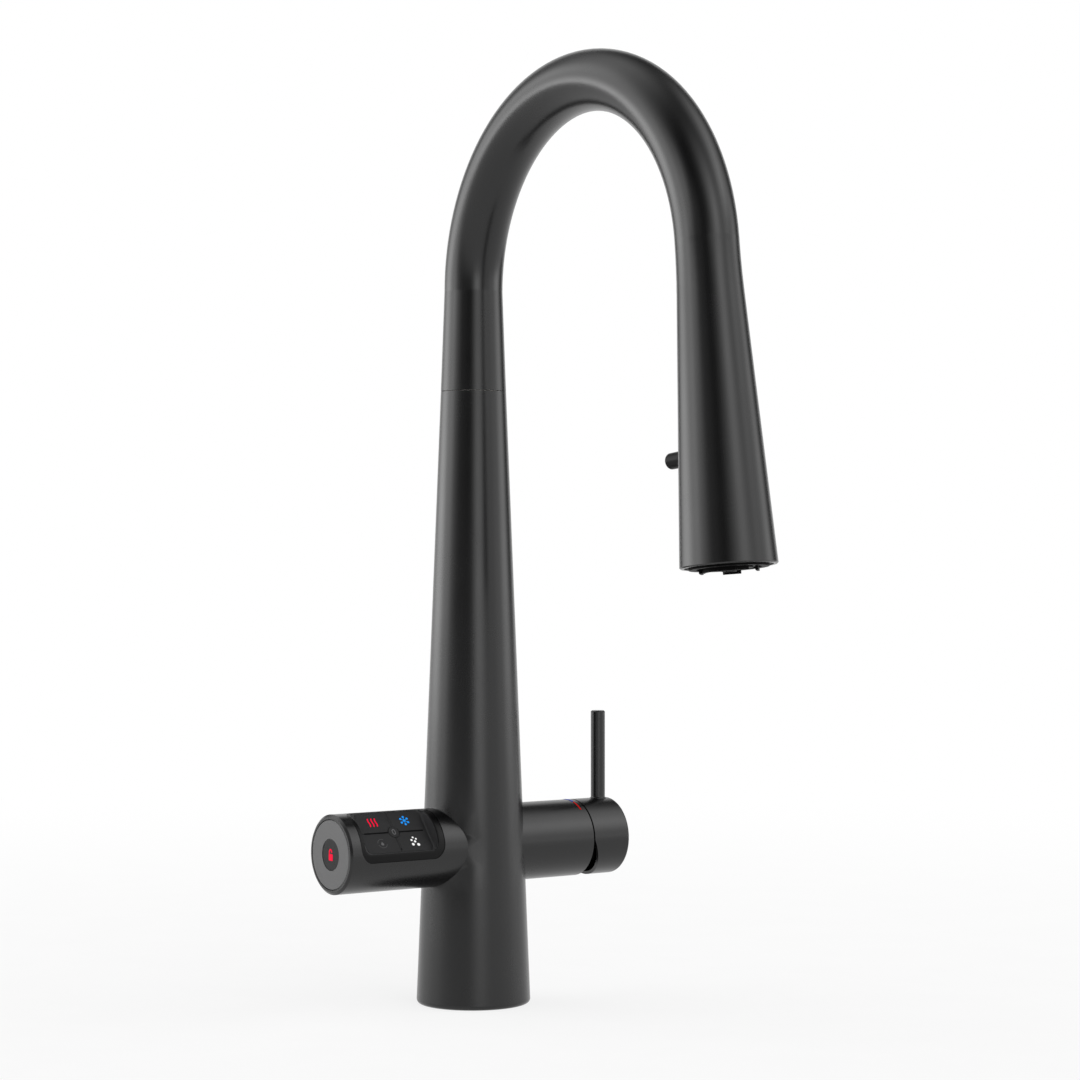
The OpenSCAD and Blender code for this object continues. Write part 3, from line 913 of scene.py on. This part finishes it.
@dataclass
class Mixer(Assembly):
    """Mixer handle with its cartridge, cap and lever."""

    def build(self) -> None:
        """Dresses the mixer."""
        self.coat(Coat.SATIN_BLACK, "handle_body", "lever_cap", "lever_pin")
        self.coat(Coat.RED_MARK, "hot_mark")
        self.coat(Coat.BLUE_MARK, "cold_mark")
        self.coat(Coat.BRASS, "valve_body")
        self.coat(Coat.CARTRIDGE, "cartridge")
        self.coat(Coat.DARK_METAL, "cartridge_nut", "carrier", "cap_screw")
        self.coat(Coat.STEEL, "cross_pin", "stem")


class Key(Enum):
    """The four keys: their body and the side of the middle that each lies on."""

    HOT = ("hot_key", -1, 1)
    COLD = ("cold_key", 1, 1)
    STILL = ("still_key", -1, -1)
    SPARKLING = ("sparkling_key", 1, -1)


@dataclass
class Pod(Assembly):
    """Control pod with its panel, four keys, their signs and the lock in its end."""

    arm_z: float = 72.2
    arm_r: float = 17.8
    turn: float = 50.0
    key_level: float = 12.4
    key_depth: float = 1.6
    key_gap: float = 0.12
    panel: Outline = Outline((-71.1, -13.6), (-27.0, 13.6), 5.5)
    rim: Outline = Outline((-68.9, -10.6), (-30.4, 12.6), 3.2)
    plate: Outline = Outline((-66.0, -9.3), (-31.5, 12.3), 2.5)
    middle: Pair = (-48.75, 1.5)
    groove: Pair = (15.65, 0.4)
    pin_hole: tuple[Pair, float, float] = ((0.35, -9.2), 0.42, 0.5)
    channel: Place = (3.4, 3.25, 9.5)
    hollow: tuple[Pair, ...] = (
        (0.05, 0.22),
        (0.12, 0.42),
        (0.22, 0.6),
        (0.34, 0.75),
        (0.48, 0.86),
        (0.64, 0.94),
        (0.82, 0.985),
    )
    disc_r: float = 2.72
    disc_gap: float = 0.22
    disc_top: float = 12.6
    disc_depth: float = 2.0
    disc_step: Pair = (0.3, 0.04)
    ring: Outline = Outline((-0.88, -1.4), (0.88, 1.4), 0.86)
    ring_width: float = 0.4
    ring_level: float = 12.57
    ink: float = 0.05
    end_x: float = -76.4
    lens_r: float = 7.05

    def build(self) -> None:
        """Dresses the pod and builds its panel, keys, lens and signs."""
        self.coat(Coat.SATIN_BLACK, "pod_housing")
        self.coat(Coat.DISC, "lock_plate")
        self.coat(Coat.INNER_PLASTIC, "pod_bulkhead", "lock_guide")
        self.coat(Coat.RUBBER, "panel_seal", "lock_pad")
        self.coat(Coat.BOARD, "control_board")
        self.coat(Coat.OUTLET, "key_switches", "lock_switch")
        self._bezel()
        self._dish()
        self._disc()
        for key in Key:
            self._key(key)
        self._heat_sign()
        self._frost_sign()
        self._still_sign()
        self._bubble_sign()
        self._lens()
        self._lock_sign()

    def _on_panel(self) -> Matrix:
        """The frame whose Z is the panel's outward normal."""
        place = Matrix.Translation((0.0, 0.0, self.arm_z * MM))
        return place @ Matrix.Rotation(math.radians(self.turn), 4, "X")

    def _on_end(self, inset: float) -> Matrix:
        """The frame on the pod's end whose Z points out of it and whose Y points up.

        Args:
            inset: how far in from the end's face the origin lies, in millimetres.

        Returns:
            The frame's matrix.
        """
        place = Matrix.Translation(((self.end_x + inset) * MM, 0.0, self.arm_z * MM))
        axes = Matrix(((0.0, 0.0, -1.0), (-1.0, 0.0, 0.0), (0.0, 1.0, 0.0))).to_4x4()
        return place @ axes

    def _skin(self, sink: float) -> Level:
        """The pod's round skin above the panel's frame.

        Args:
            sink: how far below the skin, in millimetres.

        Returns:
            The height at a point.
        """
        radius = (self.arm_r - sink) * MM
        return lambda spot: math.sqrt(radius * radius - spot.y * spot.y)

    def _between(self, share: float) -> Level:
        """A surface between the skin and the keys' level.

        Args:
            share: 0 on the skin and 1 at the keys.

        Returns:
            The height at a point.
        """
        skin = self._skin(0.2)
        return lambda spot: skin(spot) + (self.key_level * MM - skin(spot)) * share

    def _bezel(self) -> None:
        """The frame round the keys, in line with the pod's skin."""
        edge = self.panel.grown(-0.06)
        rings = [
            (edge, self._skin(1.6)),
            (edge, self._skin(0.4)),
            (edge.grown(-0.05), self._skin(0.24)),
            (edge.grown(-0.18), self._skin(0.14)),
            (edge.grown(-0.4), self._skin(0.12)),
            (edge.toward(self.rim, 0.35), self._skin(0.12)),
            (edge.toward(self.rim, 0.7), self._skin(0.12)),
            (self.rim.grown(0.3), self._skin(0.13)),
            (self.rim.grown(0.1), self._skin(0.2)),
            (self.rim, self._skin(0.38)),
            (self.rim.grown(0.03), self._skin(1.6)),
        ]
        piece = Bench.loft("panel_bezel", rings)
        Bench.finish(piece, 50.0)
        Bench.place(piece, self._on_panel())
        self.keep(piece, Coat.BEZEL, "body", "black_plastic", "panel_frame")

    def _dish(self) -> None:
        """The hollow that runs from the frame down to the keys, wide on the column's side."""
        rings = [(self.rim, self._skin(0.44))]
        for share, depth in self.hollow:
            rings.append((self.rim.toward(self.plate, share), self._between(depth)))
        rings.append((self.plate, self._between(1.0)))
        underside = 10.5 * MM
        rings.append((self.plate, lambda spot: underside))
        rings.append((self.rim.grown(-0.05), self._skin(1.8)))
        piece = Bench.loft("panel_dish", rings)
        Bench.finish(piece, 50.0)
        Bench.place(piece, self._on_panel())
        # the dish's lighter grey is painted light, making up for the shade in the hollow
        self.keep(piece, Coat.DISH, "body", "black_plastic", "panel_frame")

    def _disc(self) -> None:
        """The round indicator in the middle of the keys, with its ring."""
        top = self.disc_top * MM
        middle = (*self.middle, self.disc_top - self.disc_depth / 2)
        piece = Bench.drum("indicator_disc", 72, self.disc_r, self.disc_depth, middle)
        Bench.bevel_edges(
            piece, lambda edge: all(v.co.z > top - NEAR for v in edge.verts), 0.32 * MM, 5
        )
        Bench.pick(
            piece,
            "FACE",
            lambda face: face.normal.z > 0.99 and face.calc_center_median().z > top - NEAR,
        )
        step, dip = self.disc_step
        bpy.ops.mesh.inset(thickness=step * MM, depth=-dip * MM)
        bpy.ops.mesh.inset(thickness=step * MM)
        Bench.close()
        Bench.finish(piece)
        Bench.place(piece, self._on_panel())
        self.keep(piece, Coat.KEY, "body", "lens_plastic", "panel_light")
        ring = self._band("indicator_ring", self.ring, self.ring_width)
        self._print(ring, Coat.RING_SIGN, "body", self.middle, self.ring_level)

    def _key(self, key: "Key") -> None:
        """One quarter of the key plate, with its half of the grooves.

        Args:
            key: which quarter.
        """
        body, side_x, side_y = key.value
        mid_x, mid_y = self.middle
        top, gap, far = self.key_level, self.key_gap / 2, 40.0
        plate = self.plate.grown(-self.key_gap)
        piece = Bench.slab(f"{body}_cap", plate, top - self.key_depth, top)
        ends = [(gap, far) if side > 0 else (-far, -gap) for side in (side_x, side_y)]
        low = (mid_x + ends[0][0], mid_y + ends[1][0])
        high = (mid_x + ends[0][1], mid_y + ends[1][1])
        quarter = Bench.slab("quarter", Outline(low, high, 0.01), 5.0, 20.0)
        Bench.cut(piece, quarter, "INTERSECT")
        length, half = self.groove
        slot_low, slot_high = (mid_x - length, mid_y - half), (mid_x + length, mid_y + half)
        slot = Outline(slot_low, slot_high, half - 0.01)
        Bench.cut(piece, Bench.slab("slot", slot, top - 1.3, 20.0))
        Bench.cut(piece, self._channel())
        (pin_x, pin_y), pin_r, pin_depth = self.pin_hole
        disc_hole = (self.middle, self.disc_r + self.disc_gap, 3.0)
        pin_hole = ((mid_x + pin_x, mid_y + pin_y), pin_r, pin_depth)
        for place, radius, depth in (disc_hole, pin_hole):
            Bench.cut(piece, Bench.drum("hole", 64, radius, 2 * depth, (*place, top)))
        sharp = {"limit_method": "ANGLE", "angle_limit": math.radians(40)}
        Bench.modify(piece, "BEVEL", width=0.07 * MM, segments=2, **sharp)
        Bench.finish(piece)
        Bench.modify(piece, "WEIGHTED_NORMAL", weight=80, keep_sharp=True)
        Bench.place(piece, self._on_panel())
        self.keep(piece, Coat.KEY, body, "key_plastic", f"key_{body.removesuffix('_key')}")

    def _channel(self) -> Piece:
        """A round-ended rod along the panel's Y, which cuts the shallow channel.

        Returns:
            The rod.
        """
        radius, rise, half = self.channel
        middle = (*self.middle, self.key_level + rise)
        rod = Bench.drum("channel", 128, radius, 2 * half, middle, 90.0)
        Bench.bevel_edges(
            rod, lambda edge: abs(edge.verts[0].co.y - edge.verts[1].co.y) < NEAR, 1.2 * MM, 5
        )
        return rod

    def _arc(self, name: str, outer: float, inner: float, start: float, end: float) -> Piece:
        """A flat ring or part of one in the XY plane.

        Args:
            name: the object's name.
            outer: its outer radius in millimetres.
            inner: its inner radius in millimetres.
            start: where it starts, in degrees from X.
            end: where it ends, in degrees from X.

        Returns:
            The new object.
        """
        piece = Bench.start(name, bpy.ops.mesh.primitive_plane_add, size=1.0)
        Bench.pick(piece, "VERT", lambda vertex: vertex.co.y > 0)
        bpy.ops.mesh.delete(type="VERT")
        Bench.close()
        turn = Matrix.Rotation(math.radians(start), 3, "Z")
        ends = {True: outer * MM, False: inner * MM}
        Bench.shift(piece, lambda spot: turn @ Vector((ends[spot.x > 0], 0.0, 0.0)))
        Bench.open(piece, "EDGE")
        bpy.ops.mesh.select_all(action="SELECT")
        steps = max(6, round(abs(end - start) / 9))
        sweep = math.radians(end - start)
        bpy.ops.mesh.spin(steps=steps, angle=sweep, center=(0, 0, 0), axis=(0, 0, -1))
        Bench.close()
        return piece

    def _band(self, name: str, outline: Outline, width: float) -> Piece:
        """A flat closed band in the XY plane.

        Args:
            name: the object's name.
            outline: its outer line.
            width: how wide the band is, in millimetres.

        Returns:
            The new object.
        """
        lines = (outline, outline.grown(-width))
        return Bench.bridge(*(Bench.loop(name, line, lambda spot: 0.0) for line in lines))

    def _print(
        self, sign: Piece, coat: Coat, body: str, place: Pair, level: float | None = None
    ) -> None:
        """Gives a flat sign its thickness and lays it on the keys.

        Args:
            sign: the sign, flat round the origin.
            coat: its ink.
            body: the body that it rides on.
            place: where its middle lies on the panel, in millimetres.
            level: the height that it lies at; the keys' level where none is given.
        """
        Bench.open(sign, "VERT")
        bpy.ops.mesh.select_all(action="SELECT")
        bpy.ops.mesh.remove_doubles(threshold=0.001 * MM)
        Bench.close()
        Bench.raise_up(sign, self.ink)
        Bench.finish(sign)
        flat = self.key_level if level is None else level
        move = Matrix.Translation((place[0] * MM, place[1] * MM, (flat - 0.01) * MM))
        Bench.place(sign, self._on_panel() @ move)
        self.keep(sign, coat, body, "lens_plastic")

    def _dot(self, name: str, place: Pair, radius: float) -> Piece:
        """A flat round dot.

        Args:
            name: the object's name.
            place: its centre in millimetres.
            radius: its radius in millimetres.

        Returns:
            The new object.
        """
        settings = {"vertices": 36, "radius": radius * MM, "fill_type": "NGON"}
        where = (place[0] * MM, place[1] * MM, 0.0)
        return Bench.start(name, bpy.ops.mesh.primitive_circle_add, location=where, **settings)

    def _heat_sign(self) -> None:
        """Three rising waves."""
        waves = []
        for place in (-1.8, 0.0, 1.8):
            wave = Bench.sheet("heat_sign", Outline((-0.3, -2.25), (0.3, 2.25), 0.28), 5)
            Bench.pick(wave, "EDGE", lambda edge: edge.calc_length() > 2 * MM)
            bpy.ops.mesh.subdivide(number_cuts=15)
            Bench.close()
            Bench.open(wave, "FACE")
            bpy.ops.mesh.select_all(action="SELECT")
            bpy.ops.mesh.delete(type="ONLY_FACE")
            bpy.ops.mesh.select_all(action="SELECT")
            bpy.ops.mesh.edge_face_add()
            Bench.close()
            Bench.shift(wave, lambda spot, x=place: self._wave(spot, x))
            waves.append(wave)
        self._print(Bench.join(*waves), Coat.RED_SIGN, "hot_key", (-57.6, 7.25))

    @staticmethod
    def _wave(spot: Vector, place: float) -> Vector:
        """Bends a straight stroke into an upright wave.

        Args:
            spot: a point of the stroke.
            place: the stroke's place along X, in millimetres.

        Returns:
            The point's new place.
        """
        sway = -0.22 * math.sin(spot.y / (4.4 * MM) * 2 * math.pi)
        return Vector((spot.x + (place + sway) * MM, spot.y, spot.z))

    def _frost_sign(self) -> None:
        """Six points round a centre, joined by arms."""
        parts = [self._dot("frost_sign", (0.0, 0.0), 0.66)]
        for turn in range(6):
            angle = math.radians(90 + 60 * turn)
            tip = (1.95 * math.cos(angle), 1.95 * math.sin(angle))
            parts.append(self._dot("point", tip, 0.56))
            arm = Bench.sheet("arm", Outline((0.4, -0.12), (2.0, 0.12), 0.05), 1)
            Bench.shift(arm, lambda spot, a=angle: Matrix.Rotation(a, 3, "Z") @ spot)
            parts.append(arm)
        for level, part in enumerate(parts):
            Bench.shift(part, lambda spot, z=level: spot + Vector((0, 0, 0.002 * MM * z)))
        self._print(Bench.join(*parts), Coat.BLUE_SIGN, "cold_key", (-40.8, 7.25))

    def _still_sign(self) -> None:
        """A drop between two arcs."""
        place = (-56.9, -4.1)
        drop = self._dot("still_drop", (0.0, -0.25), 0.74)
        Bench.shift(drop, self._pull_drop)
        self._print(drop, Coat.RING_SIGN, "still_key", place)
        arcs = [self._arc("still_arcs", 2.4, 2.12, 62, 172), self._arc("arc", 2.4, 2.12, 196, 348)]
        self._print(Bench.join(*arcs), Coat.GREY_SIGN, "still_key", place)

    @staticmethod
    def _pull_drop(spot: Vector) -> Vector:
        """Draws the top of a round dot out into a point.

        Args:
            spot: a point of the dot.

        Returns:
            The point's new place.
        """
        rise = max(0.0, spot.y / MM + 0.1)
        width = 1.0 - min(0.75, rise * 1.4)
        return Vector((spot.x * width, spot.y + 1.5 * rise * rise * MM, spot.z))

    def _bubble_sign(self) -> None:
        """Six rising bubbles."""
        bubbles = (
            (-1.53, -1.42, 0.7),
            (1.2, -1.7, 0.74),
            (0.0, 0.0, 0.6),
            (-1.55, 0.85, 0.54),
            (-0.37, 2.2, 0.46),
            (0.96, 1.35, 0.46),
        )
        dots = [self._dot("bubble_sign", (x, y), radius) for x, y, radius in bubbles]
        self._print(Bench.join(*dots), Coat.WHITE_SIGN, "sparkling_key", (-39.75, -4.17))

    def _lens(self) -> None:
        """The dark round window in the pod's end."""
        piece = Bench.drum("lock_window", 96, self.lens_r, 1.0, (0.0, 0.0, -0.5))
        Bench.bevel_edges(piece, lambda edge: all(v.co.z > -NEAR for v in edge.verts), 0.18 * MM, 4)
        Bench.pick(piece, "FACE", lambda face: face.normal.z > 0.99)
        bpy.ops.mesh.inset(thickness=0.4 * MM)
        Bench.close()
        Bench.finish(piece)
        Bench.place(piece, self._on_end(0.16))
        self.keep(piece, Coat.LENS, "lock", "lens_plastic", "lock_lens")

    def _lock_sign(self) -> None:
        """An open padlock."""
        case = Bench.sheet("lock_sign", Outline((-1.65, -2.6), (1.65, 0.4), 0.45), 5)
        bow = self._arc("bow", 1.35, 0.55, 0, 180)
        Bench.shift(bow, lambda spot: spot + Vector((-0.15 * MM, 1.3 * MM, 0)))
        left = Bench.sheet("leg", Outline((-1.5, 0.2), (-0.7, 1.32), 0.02), 1)
        right = Bench.sheet("leg", Outline((0.4, 1.0), (1.2, 1.32), 0.02), 1)
        for level, part in enumerate((bow, left, right)):
            Bench.shift(part, lambda spot, z=level: spot + Vector((0, 0, 0.003 * MM * (z + 1))))
        sign = Bench.join(case, bow, left, right)
        Bench.raise_up(sign, self.ink)
        Bench.finish(sign)
        Bench.place(sign, self._on_end(0.15))
        self.keep(sign, Coat.RED_SIGN, "lock", "lens_plastic")


# ---------------------------------------------------------------- studio


@dataclass(frozen=True)
class SoftLight:
    """One soft patch of the surroundings: where it is, how tight, and how bright."""

    azimuth: float
    height: float
    tightness: float
    strength: float


# each ring of patches, by its height and tightness: azimuth and strength
PATCHES = {
    (-1, 55): (
        (12, 2.08), (24, 3.25), (132, 2.22), (144, 4.13), (156, 2.15), (168, 1.62), (288, 1.7),
        (300, 2.48), (312, 0.49), (324, 1.45), (348, 0.44),
    ),
    (9, 55): (
        (114, 3.48), (126, 0.47), (282, 0.92), (342, 0.93),
    ),
    (19, 55): (
        (0, 1.65), (12, 0.23), (60, 0.18), (72, 0.37), (96, 2.42), (132, 0.94), (156, 1.86),
        (288, 0.8), (324, 0.98), (348, 0.57),
    ),
    (32, 28): (
        (0, 1.9), (120, 0.47), (144, 1.68), (312, 2.44),
    ),
    (48, 16): (
        (10, 0.91), (130, 0.57), (170, 0.33), (290, 1.62),
    ),
    (68, 14): (
        (154, 0.96),
    ),
}
SOFT_LIGHTS = tuple(
    SoftLight(azimuth, height, tightness, strength)
    for (height, tightness), ring in PATCHES.items()
    for azimuth, strength in ring
)


@dataclass
class Studio:
    """Pale floor, soft surrounding light and the camera."""

    eye: Place = (-0.72899, -1.07321, 0.209585)
    yaw: float = -35.532
    pitch: float = 0.084
    lens: float = 94.43
    floor_size: float = 14.0
    backdrop: Pair = (215.5, 0.0)
    backdrop_edge: Pair = (42.0, 22.0)
    floor_fade: Pair = (0.1, 1.1)
    floor_glow: Pair = (0.22, 0.78)

    def build(self) -> None:
        """Builds the surroundings and the camera."""
        self._world()
        self._floor()
        self._camera()
        bpy.context.scene.view_settings.view_transform = "Standard"

    def _world(self) -> None:
        """Draws the soft light round the part."""
        world = bpy.data.worlds.new("soft_studio")
        bpy.context.scene.world = world
        world.use_nodes = True
        board = Shading(world.node_tree)
        way = board.node("ShaderNodeTexCoord").outputs["Generated"]
        camera, glossy, through = self._rays(board)
        outer, inner = (math.cos(math.radians(angle)) for angle in self.backdrop_edge)
        behind = self._toward(board, way, *self.backdrop).ramp(outer, inner)
        white = (camera + through + glossy * behind).math("MINIMUM", 1.0)
        strength = white + (1.0 - white) * self._level(board, way).math("MAXIMUM", behind)
        light = board.node("ShaderNodeBackground", None, {"Color": WHITE, "Strength": strength})
        board.node("ShaderNodeOutputWorld", None, {"Surface": light.outputs[0]})

    @staticmethod
    def _rays(board: Shading) -> tuple[Signal, Signal, Signal]:
        """Whether a camera, glossy or transmitted ray sees the surface.

        Args:
            board: the nodes.

        Returns:
            The three signals.
        """
        path = board.node("ShaderNodeLightPath")
        kinds = ("Camera", "Glossy", "Transmission")
        return tuple(Signal(board, path.outputs[f"Is {kind} Ray"]) for kind in kinds)

    @staticmethod
    def _toward(board: Shading, way: Socket, azimuth: float, height: float) -> Signal:
        """Cosine between a direction and a named one.

        Args:
            board: the world's nodes.
            way: the direction that is looked at.
            azimuth: degrees from -Y toward -X.
            height: degrees above the horizon.

        Returns:
            The cosine.
        """
        turn, rise = math.radians(azimuth), math.radians(height)
        named = (-math.sin(turn) * math.cos(rise), -math.cos(turn) * math.cos(rise), math.sin(rise))
        made = board.node("ShaderNodeVectorMath", {"operation": "DOT_PRODUCT"}, {0: way, 1: named})
        return Signal(board, made.outputs["Value"])

    def _level(self, board: Shading, way: Socket) -> Signal:
        """Brightness of the surroundings in each direction.

        Args:
            board: the world's nodes.
            way: the direction that is looked at.

        Returns:
            The brightness.
        """
        patches = (
            ((self._toward(board, way, light.azimuth, light.height) - 1.0) * light.tightness).math(
                "EXPONENT"
            )
            * light.strength
            for light in SOFT_LIGHTS
        )
        return sum(patches, start=next(patches))

    def _floor(self) -> None:
        """Lays the pale floor, which keeps the part's shadow."""
        floor = Bench.start("floor", bpy.ops.mesh.primitive_plane_add, size=self.floor_size)
        material = bpy.data.materials.new("pale_floor")
        material.use_nodes = True
        board = Shading(material.node_tree)
        grain = board.noise(40 * MM, 3.0)
        paint = board.tint(grain.ramp(0.3, 0.7), (0.9, 0.9, 0.9), (0.93, 0.93, 0.93))
        matt = board.node("ShaderNodeBsdfDiffuse", None, {"Color": paint})
        glow = board.node("ShaderNodeEmission", None, {"Strength": 1.0})
        camera, glossy, through = self._rays(board)
        seen = (camera + glossy + through).math("MINIMUM", 1.0)
        away = board.node("ShaderNodeVectorMath", {"operation": "LENGTH"}, {0: board.coordinates()})
        far, near = self.floor_glow
        share = Signal(board, away.outputs["Value"]).ramp(*self.floor_fade) * far + near
        sides = {0: seen * share, 1: matt.outputs[0], 2: glow.outputs[0]}
        mixed = board.node("ShaderNodeMixShader", None, sides)
        board.node("ShaderNodeOutputMaterial", None, {"Surface": mixed.outputs[0]})
        material.cycles.emission_sampling = "NONE"
        floor.data.materials.append(material)

    def _camera(self) -> None:
        """Sets the camera at the photograph's place."""
        data = bpy.data.cameras.new("camera")
        data.sensor_width = 36.0
        data.lens = self.lens
        data.clip_end = 50.0
        camera = bpy.data.objects.new("camera", data)
        bpy.context.scene.collection.objects.link(camera)
        camera.location = self.eye
        camera.rotation_euler = (math.radians(90.0 + self.pitch), 0.0, math.radians(self.yaw))
        bpy.context.scene.camera = camera


def main() -> None:
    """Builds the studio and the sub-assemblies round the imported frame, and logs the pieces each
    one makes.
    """
    logging.basicConfig(level=logging.INFO, format="%(name)s: %(message)s")
    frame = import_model()
    nodes = frame["nodes"]
    Studio().build()
    for assembly in (Body(nodes), Spout(nodes), Mixer(nodes), Pod(nodes)):
        assembly.build()
        made = ", ".join(assembly.pieces) or "packed nodes only"
        LOG.info("%s: %s", type(assembly).__name__, made)


if __name__ == "__main__":
    main()
